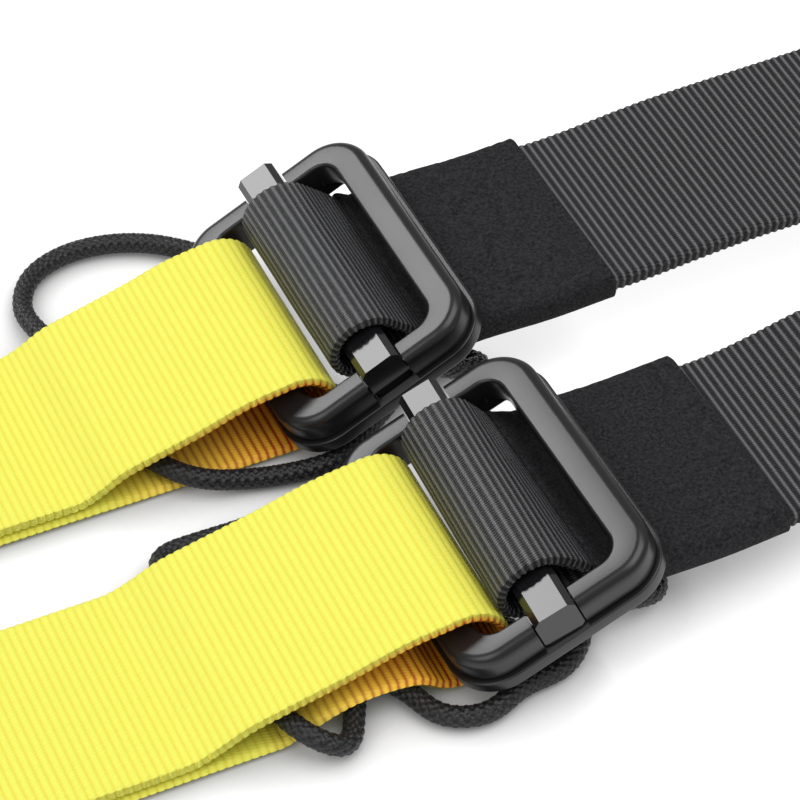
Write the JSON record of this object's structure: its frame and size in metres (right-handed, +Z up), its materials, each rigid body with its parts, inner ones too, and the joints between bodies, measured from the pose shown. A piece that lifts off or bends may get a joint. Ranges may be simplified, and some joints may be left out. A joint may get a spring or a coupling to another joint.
{
  "type": "suspension trainer",
  "caption": "Suspension trainer: two webbing straps with quick-release rings, spinning foam handles and foot loops, joined at one anchor ring with a locking carabiner.",
  "frame": {"origin": "middle of the trainer's bounding box, on the floor it lies on", "axes": "+X along the straps from the anchor to the handles, +Y across the straps, +Z up"},
  "size_m": [1.1902, 0.373, 0.034],
  "materials": {
    "cast_metal": "satin black powder coat",
    "yellow_webbing": "ribbed woven polyester webbing",
    "black_webbing": "ribbed woven nylon webbing",
    "sleeve_felt": "fine napped felt-like sleeve",
    "braided_cord": "round braided cord",
    "steel": "satin steel",
    "black_plastic": "matte moulded plastic",
    "grip_foam": "closed-cell foam"
  },
  "bodies": {
    "root": {"anchor_ring": "steel", "anchor_strap": "black_webbing", "carabiner_body": "steel", "gate_pin": "steel", "yellow_strap_far": "yellow_webbing", "yellow_strap_near": "yellow_webbing", "black_strap_far": "black_webbing", "black_strap_near": "black_webbing", "cam_frame_far": "cast_metal", "cam_frame_near": "cast_metal", "cam_pin_far": "steel", "cam_pin_near": "steel", "cam_spring_far": "steel", "cam_spring_near": "steel", "bundle_tie_far": "black_webbing", "bundle_tie_near": "black_webbing", "handle_strap_far": "black_webbing", "handle_strap_near": "black_webbing", "foot_loop_far": "black_webbing", "foot_loop_near": "black_webbing", "release_cord_far": "braided_cord", "release_cord_near": "braided_cord"},
    "ring_far": {"ring_buckle_far": "cast_metal", "sleeve_far": "sleeve_felt"},
    "ring_near": {"ring_buckle_near": "cast_metal", "sleeve_near": "sleeve_felt"},
    "bar_far": {"cross_bar_far": "cast_metal", "bar_loop_far": "black_webbing"},
    "bar_near": {"cross_bar_near": "cast_metal", "bar_loop_near": "black_webbing"},
    "lever_far": {"cam_lever_far": "black_plastic"},
    "lever_near": {"cam_lever_near": "black_plastic"},
    "handle_far": {"handle_tube_far": "black_plastic", "handle_grip_far": "grip_foam", "end_cap_left_far": "black_plastic", "end_cap_right_far": "black_plastic"},
    "handle_near": {"handle_tube_near": "black_plastic", "handle_grip_near": "grip_foam", "end_cap_left_near": "black_plastic", "end_cap_right_near": "black_plastic"},
    "gate": {"carabiner_gate": "steel"},
    "lock": {"lock_sleeve": "black_plastic"}
  },
  "joints": [
    {"name": "ring_swing_far", "type": "hinge", "parent": "root", "child": "ring_far", "pos_m": [0.02753, 0.02747, 0.00788], "axis": [0.0052, -1, 0], "range_deg": [0, 35], "deforming": ["black_strap_far", "release_cord_far"]},
    {"name": "ring_swing_near", "type": "hinge", "parent": "root", "child": "ring_near", "pos_m": [0.03061, -0.02956, 0.00788], "axis": [0.0201, -0.9998, 0], "range_deg": [0, 35], "deforming": ["black_strap_near", "release_cord_near"]},
    {"name": "bar_lift_far", "type": "slide", "parent": "ring_far", "child": "bar_far", "axis": [-0.4515, -0.0024, 0.8923], "range_m": [0, 0.006], "deforming": ["bar_loop_far", "release_cord_far"]},
    {"name": "bar_lift_near", "type": "slide", "parent": "ring_near", "child": "bar_near", "axis": [-0.3816, -0.0077, 0.9243], "range_m": [0, 0.006], "deforming": ["bar_loop_near", "release_cord_near"]},
    {"name": "cam_turn_far", "type": "hinge", "parent": "root", "child": "lever_far", "pos_m": [-0.11062, 0.02753, 0.0112], "axis": [0, 1, 0], "range_deg": [0, 55], "deforming": ["cam_spring_far"]},
    {"name": "cam_turn_near", "type": "hinge", "parent": "root", "child": "lever_near", "pos_m": [-0.10678, -0.02931, 0.0112], "axis": [0, 1, 0], "range_deg": [0, 55], "deforming": ["cam_spring_near"]},
    {"name": "handle_spin_far", "type": "hinge", "parent": "root", "child": "handle_far", "pos_m": [0.46634, 0.08746, 0.017], "axis": [-0.2079, 0.9781, 0], "continuous": true},
    {"name": "handle_spin_near", "type": "hinge", "parent": "root", "child": "handle_near", "pos_m": [0.47018, -0.08743, 0.017], "axis": [0.2079, 0.9781, 0], "continuous": true},
    {"name": "gate_turn", "type": "hinge", "parent": "root", "child": "gate", "pos_m": [-0.51462, 0.02061, 0.0064], "axis": [0, 0, 1], "range_deg": [0, 28]},
    {"name": "lock_slide", "type": "slide", "parent": "gate", "child": "lock", "axis": [-1, 0, 0], "range_m": [0, 0.012]}
  ]
}
